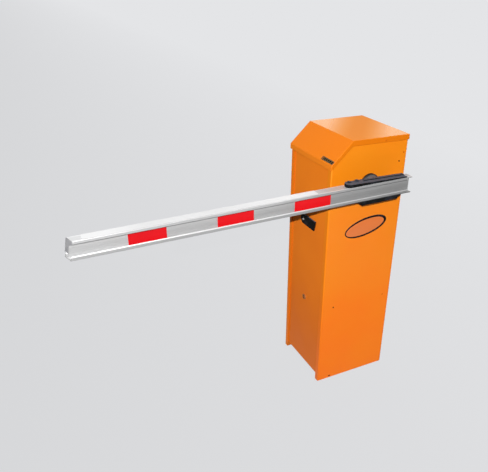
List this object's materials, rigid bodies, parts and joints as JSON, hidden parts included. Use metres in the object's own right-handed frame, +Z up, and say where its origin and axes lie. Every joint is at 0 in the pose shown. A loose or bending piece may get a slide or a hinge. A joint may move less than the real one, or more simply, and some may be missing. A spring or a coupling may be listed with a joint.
{
  "type": "boom barrier",
  "caption": "Boom barrier: an orange sheet steel cabinet with a sloping lid corner and an aluminium boom with red bands, clamped to a hub that lifts it.",
  "frame": {"origin": "centre of the four anchor slots, on the underside of the base plate at floor level", "axes": "+X along the front face away from the boom's tip, +Y from the front face to the back, +Z up"},
  "size_m": [1.2389, 0.371, 1.03],
  "materials": {
    "orange_steel": "orange powder coat, satin",
    "boom_aluminium": "mill finish extrusion, satin",
    "black_steel": "black paint, satin",
    "bare_steel": "zinc plated",
    "drive_casting": "cast, matt",
    "red_tape": "red film",
    "white_strip": "white film, glossy",
    "dark_plastic": "moulded, matt",
    "lock_metal": "plated"
  },
  "bodies": {
    "cabinet": {"front_panel": "orange_steel", "rear_panel": "orange_steel", "left_side_panel": "orange_steel", "right_side_panel": "orange_steel", "lid": "orange_steel", "vent_grille": "dark_plastic", "base_plate": "bare_steel", "drive_plate": "bare_steel", "gearbox": "drive_casting", "motor": "drive_casting", "shaft_bearing": "bare_steel", "release_lock": "lock_metal", "side_handle": "black_steel", "post_front_left": "bare_steel", "post_front_right": "bare_steel", "post_rear_left": "bare_steel", "post_rear_right": "bare_steel"},
    "boom": {"drive_shaft": "bare_steel", "hub": "drive_casting", "back_plate": "black_steel", "upper_clamp": "black_steel", "lower_clamp": "black_steel", "boom_profile": "boom_aluminium", "tip_cap": "dark_plastic", "top_strip": "white_strip", "front_tape_1": "red_tape", "front_tape_2": "red_tape", "front_tape_3": "red_tape", "rear_tape_1": "red_tape", "rear_tape_2": "red_tape", "rear_tape_3": "red_tape"}
  },
  "joints": [
    {"name": "boom_lift", "type": "hinge", "parent": "cabinet", "child": "boom", "pos_m": [0, -0.15, 0.864], "axis": [0, 1, 0], "range_deg": [0, 90]}
  ]
}
